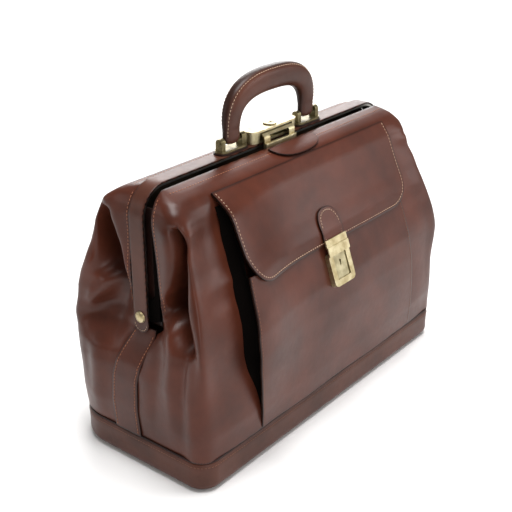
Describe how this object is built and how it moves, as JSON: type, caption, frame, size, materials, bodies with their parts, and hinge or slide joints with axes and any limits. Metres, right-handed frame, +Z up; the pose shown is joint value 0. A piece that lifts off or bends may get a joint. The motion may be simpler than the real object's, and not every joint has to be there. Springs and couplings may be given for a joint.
{
  "type": "doctor bag",
  "caption": "Leather doctor bag on a hinged two-part steel frame, with an arched handle, a frame lock, and a front pocket closed by a flap and a tuck lock.",
  "frame": {"origin": "middle of the base, on the surface that the bag stands on", "axes": "+X along the bag's length to its left as worn, -Y towards the front with the pocket, +Z up"},
  "size_m": [0.4246, 0.1909, 0.353],
  "materials": {
    "body_leather": "vegetable-tanned calf, chestnut brown, soft waxed sheen",
    "trim_leather": "darker saddle leather, waxed",
    "edge_leather": "dark piping and edge leather",
    "lining_fabric": "plain cotton lining, olive brown",
    "board": "pressed fibre board",
    "frame_steel": "plated strip steel",
    "lock_brass": "pale antique brass, satin",
    "bracket_bronze": "darkened antique bronze, satin"
  },
  "bodies": {
    "lower_bag": {"base_band": "trim_leather", "bottom_panel": "trim_leather", "base_board": "board", "base_piping": "edge_leather", "front_panel_lower": "body_leather", "rear_panel_lower": "body_leather", "lining_lower": "lining_fabric", "end_strap_left": "trim_leather", "end_strap_right": "trim_leather"},
    "rear_frame": {"rear_frame_bar": "frame_steel", "frame_band": "trim_leather", "rear_panel_upper": "body_leather", "rear_lining_upper": "lining_fabric", "pivot_rivet_left": "lock_brass", "pivot_rivet_right": "lock_brass", "pivot_washer_left": "frame_steel", "pivot_washer_right": "frame_steel", "bracket_pad_left": "trim_leather", "bracket_pad_right": "trim_leather", "handle_bracket_left": "bracket_bronze", "handle_bracket_right": "bracket_bronze", "handle_pin_left": "bracket_bronze", "handle_pin_right": "bracket_bronze", "lock_case": "lock_brass", "lock_lid": "lock_brass", "lock_escutcheon": "lock_brass"},
    "front_frame": {"front_frame_bar": "frame_steel", "front_panel_upper": "body_leather", "front_lining_upper": "lining_fabric", "hasp": "lock_brass", "pull_tab": "trim_leather"},
    "pocket": {"pocket_panel": "body_leather", "pocket_gusset_left": "edge_leather", "pocket_gusset_right": "edge_leather", "tuck_lock_case": "lock_brass", "tuck_lock_back_plate": "frame_steel"},
    "tuck_slide": {"tuck_lock_slide": "lock_brass"},
    "flap_top": {"flap_fold": "body_leather"},
    "flap": {"pocket_flap": "body_leather", "flap_strap": "trim_leather", "tuck_lock_plate": "lock_brass", "tuck_lock_hook": "frame_steel"},
    "handle": {"handle_grip": "trim_leather"},
    "lock_barrel": {"lock_barrel": "lock_brass"},
    "lock_bolt": {"lock_bolt": "frame_steel"}
  },
  "joints": [
    {"name": "front_frame_swing", "type": "hinge", "parent": "lower_bag", "child": "front_frame", "pos_m": [0, 0, 0.154], "axis": [1, 0, 0], "range_deg": [0, 38]},
    {"name": "rear_frame_swing", "type": "hinge", "parent": "lower_bag", "child": "rear_frame", "pos_m": [0, 0, 0.154], "axis": [-1, 0, 0], "range_deg": [0, 38]},
    {"name": "pocket_lean", "type": "hinge", "parent": "lower_bag", "child": "pocket", "pos_m": [0, -0.0917, 0.0354], "axis": [1, 0, 0], "range_deg": [0, 11.4]},
    {"name": "flap_hang", "type": "hinge", "parent": "front_frame", "child": "flap_top", "pos_m": [0, -0.046, 0.27], "axis": [1, 0, 0], "range_deg": [-38, 0]},
    {"name": "flap_open", "type": "hinge", "parent": "flap_top", "child": "flap", "pos_m": [0, -0.0565, 0.243], "axis": [1, 0, 0], "range_deg": [-115, 0]},
    {"name": "tuck_slide_press", "type": "slide", "parent": "pocket", "child": "tuck_slide", "axis": [0, -0.3338, -0.9426], "range_m": [0, 0.003], "stiffness_N_per_m": 300, "springref_m": -0.002},
    {"name": "handle_swing", "type": "hinge", "parent": "rear_frame", "child": "handle", "pos_m": [0, 0, 0.292], "axis": [1, 0, 0], "range_deg": [-85, 85]},
    {"name": "lock_barrel_turn", "type": "hinge", "parent": "rear_frame", "child": "lock_barrel", "pos_m": [0, 0, 0.29], "axis": [0, 0, 1], "range_deg": [0, 90]},
    {"name": "lock_bolt_slide", "type": "slide", "parent": "rear_frame", "child": "lock_bolt", "axis": [1, 0, 0], "range_m": [0, 0.004]}
  ],
  "couplings": [
    {"joint": "pocket_lean", "follows": "front_frame_swing", "ratio": 0.3},
    {"joint": "flap_hang", "follows": "front_frame_swing", "ratio": -1},
    {"joint": "lock_bolt_slide", "follows": "lock_barrel_turn", "m_per_rad": 0.0025}
  ]
}
